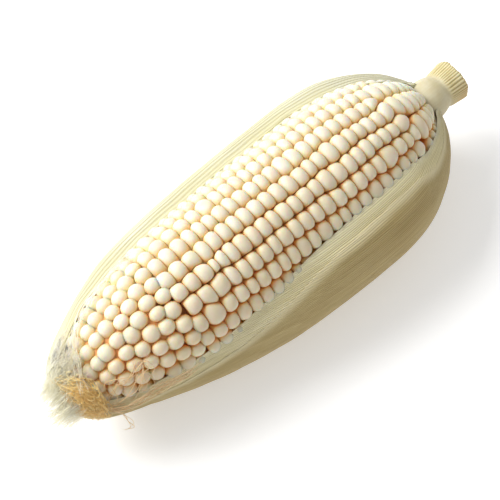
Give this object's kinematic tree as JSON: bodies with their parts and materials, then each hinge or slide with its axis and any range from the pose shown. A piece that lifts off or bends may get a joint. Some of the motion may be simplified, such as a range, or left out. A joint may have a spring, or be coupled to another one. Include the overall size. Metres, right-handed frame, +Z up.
{
  "type": "corn cob",
  "caption": "Ear of white corn lying on its back, husk peeled open over its rows of plump kernels, with silk at the tip and a cut shank at the base",
  "frame": {"origin": "middle of the box's underside, on the surface the ear lies on", "axes": "+X along the ear towards the cut shank, with the silk tip at -X; +Z up out of the open side of the husk; the wide right-hand leaves at -Y"},
  "size_m": [0.19, 0.0652, 0.0565],
  "materials": {
    "cob": "fibrous cut stem, pale green-yellow, dull",
    "kernel": "milky translucent skin, cream white, soft satin sheen",
    "husk": "finely ribbed leaf, pale straw green, matt",
    "silk": "fine tangled strands, golden brown, soft sheen"
  },
  "bodies": {
    "root": {"cob_and_shank": "cob", "kernel_row_01": "kernel", "kernel_row_02": "kernel", "kernel_row_03": "kernel", "kernel_row_04": "kernel", "kernel_row_05": "kernel", "kernel_row_06": "kernel", "kernel_row_07": "kernel", "kernel_row_08": "kernel", "kernel_row_09": "kernel", "kernel_row_10": "kernel", "kernel_row_11": "kernel", "kernel_row_12": "kernel", "kernel_row_13": "kernel", "kernel_row_14": "kernel", "kernel_row_15": "kernel", "kernel_row_16": "kernel", "kernel_row_17": "kernel", "kernel_row_18": "kernel", "kernel_row_19": "kernel", "kernel_row_20": "kernel", "kernel_row_21": "kernel", "kernel_row_22": "kernel", "husk_leaf_left_inner": "husk", "husk_leaf_left_outer": "husk", "husk_leaf_right_inner": "husk", "husk_leaf_right_outer": "husk", "husk_leaf_back": "husk", "silk_tuft": "silk", "silk_wisp_across": "silk", "silk_wisp_loop": "silk", "silk_wisp_margin": "silk", "silk_wisp_left": "silk"}
  },
  "joints": []
}
